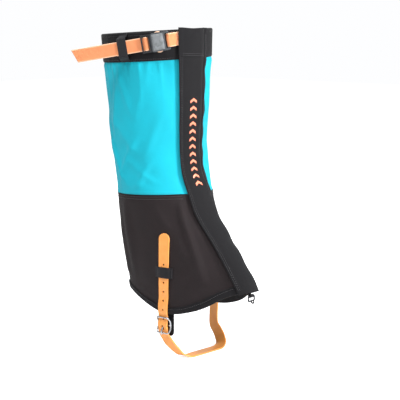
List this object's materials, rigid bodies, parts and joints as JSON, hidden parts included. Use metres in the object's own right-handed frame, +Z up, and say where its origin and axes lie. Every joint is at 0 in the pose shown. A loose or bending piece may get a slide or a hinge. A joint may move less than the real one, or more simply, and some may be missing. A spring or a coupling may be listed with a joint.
{
  "type": "gaiter",
  "caption": "Calf-high gaiter for the right leg with a front flap, a buckled strap round the top hem and a buckled strap under the shoe.",
  "frame": {"origin": "on the ground, under the axis of the leg that wears it", "axes": "+Z up the leg, -Y to the toes, -X to the outer side of the right leg"},
  "size_m": [0.1942, 0.2619, 0.4448],
  "materials": {
    "turquoise_fabric": "coated plain weave",
    "canvas": "coated canvas",
    "black_fabric": "woven",
    "fastener": "hook and loop",
    "salmon_webbing": "woven webbing",
    "orange_strap": "moulded satin",
    "grey_plastic": "semi-gloss",
    "black_plastic": "semi-gloss",
    "salmon_plastic": "semi-gloss",
    "steel": "polished",
    "black_metal": "gloss"
  },
  "bodies": {
    "gaiter": {"upper_panel": "turquoise_fabric", "lower_panel": "canvas", "top_hem": "black_fabric", "bottom_binding": "black_fabric", "flap_margin": "black_fabric", "flap_lower": "black_fabric", "fastener_loops": "fastener", "fastener_hooks_lower": "fastener", "top_strap_keeper": "black_fabric", "top_strap_fixed_run": "salmon_webbing", "buckle_female": "grey_plastic", "buckle_webbing": "salmon_webbing", "stirrup_strap": "orange_strap", "stirrup_keeper": "black_fabric", "stirrup_tab": "black_fabric", "stirrup_bar_loop": "black_fabric", "stirrup_buckle": "steel", "lace_hook_tab": "black_fabric"},
    "flap": {"flap_upper": "black_fabric", "flap_top_band": "black_fabric", "fastener_hooks_upper": "fastener"},
    "buckle_male": {"buckle_male_frame": "black_plastic", "top_strap_run": "salmon_webbing"},
    "arm_upper": {"release_arm_upper": "salmon_plastic"},
    "arm_lower": {"release_arm_lower": "salmon_plastic"},
    "strap_tail": {"top_strap_tail": "salmon_webbing"},
    "stirrup_tip": {"stirrup_strap_tip": "orange_strap"},
    "prong": {"stirrup_prong": "steel"},
    "hook": {"lace_hook": "black_metal"}
  },
  "joints": [
    {"name": "flap_open", "type": "hinge", "parent": "gaiter", "child": "flap", "pos_m": [0.00985, -0.08037, 0.35], "axis": [0.0131, -0.0265, 0.9996], "range_deg": [0, 140]},
    {"name": "buckle_unclip", "type": "slide", "parent": "gaiter", "child": "buckle_male", "axis": [-0.5248, 0.8344, -0.1685], "range_m": [0, 0.0165], "deforming": ["top_strap_fixed_run", "release_arm_upper", "release_arm_lower"]},
    {"name": "release_arm_upper_squeeze", "type": "hinge", "parent": "buckle_male", "child": "arm_upper", "pos_m": [-0.06193, -0.05169, 0.43277], "axis": [0.8465, 0.5324, 0], "range_deg": [0, 14], "stiffness_Nm_per_rad": 0.05},
    {"name": "release_arm_lower_squeeze", "type": "hinge", "parent": "buckle_male", "child": "arm_lower", "pos_m": [-0.0605, -0.05397, 0.417], "axis": [0.8465, 0.5324, 0], "range_deg": [-14, 0], "stiffness_Nm_per_rad": 0.05},
    {"name": "strap_tail_bend", "type": "hinge", "parent": "buckle_male", "child": "strap_tail", "pos_m": [-0.08549, -0.01197, 0.41676], "axis": [-0.0897, 0.1426, 0.9857], "range_deg": [-25, 45], "stiffness_Nm_per_rad": 0.01},
    {"name": "stirrup_tip_lift", "type": "hinge", "parent": "gaiter", "child": "stirrup_tip", "pos_m": [-0.05102, -0.06253, 0.1243], "axis": [0.1641, -0.9864, 0], "range_deg": [0, 50], "stiffness_Nm_per_rad": 0.02},
    {"name": "stirrup_prong_lift", "type": "hinge", "parent": "gaiter", "child": "prong", "pos_m": [-0.04878, -0.06205, 0.0435], "axis": [-0.0689, 0.9976, 0], "range_deg": [0, 26]},
    {"name": "lace_hook_swing", "type": "hinge", "parent": "gaiter", "child": "hook", "pos_m": [-0.00236, -0.17763, 0.09392], "axis": [-1, 0, 0], "range_deg": [-30, 35]}
  ],
  "couplings": [
    {"joint": "release_arm_lower_squeeze", "follows": "release_arm_upper_squeeze", "ratio": -1}
  ]
}
